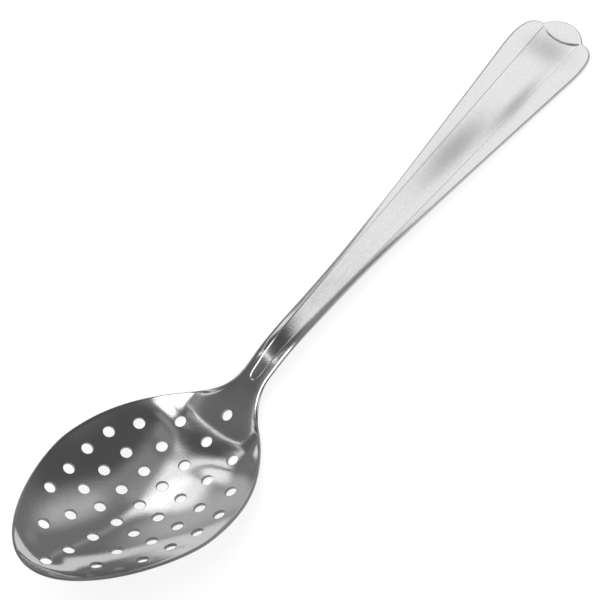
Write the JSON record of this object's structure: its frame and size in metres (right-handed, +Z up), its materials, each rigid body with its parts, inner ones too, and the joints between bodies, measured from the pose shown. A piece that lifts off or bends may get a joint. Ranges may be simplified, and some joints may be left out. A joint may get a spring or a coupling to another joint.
{
  "type": "perforated skimming spoon",
  "caption": "One-piece pressed stainless steel skimmer: a shallow oval bowl with round drain holes, a curved neck and a flared handle with a coined panel and lobed end.",
  "frame": {"origin": "centre of the bounding box in plan, on the table that the spoon lies on", "axes": "+X along the spoon from the tip of the bowl to the end of the handle, +Y to the spoon's left seen from the bowl's hollow side with the handle ahead, +Z up"},
  "size_m": [0.2668, 0.0682, 0.0341],
  "materials": {
    "stainless_steel": "polished stainless steel with fine wear scratches"
  },
  "bodies": {
    "root": {"perforated_spoon": "stainless_steel"}
  },
  "joints": []
}
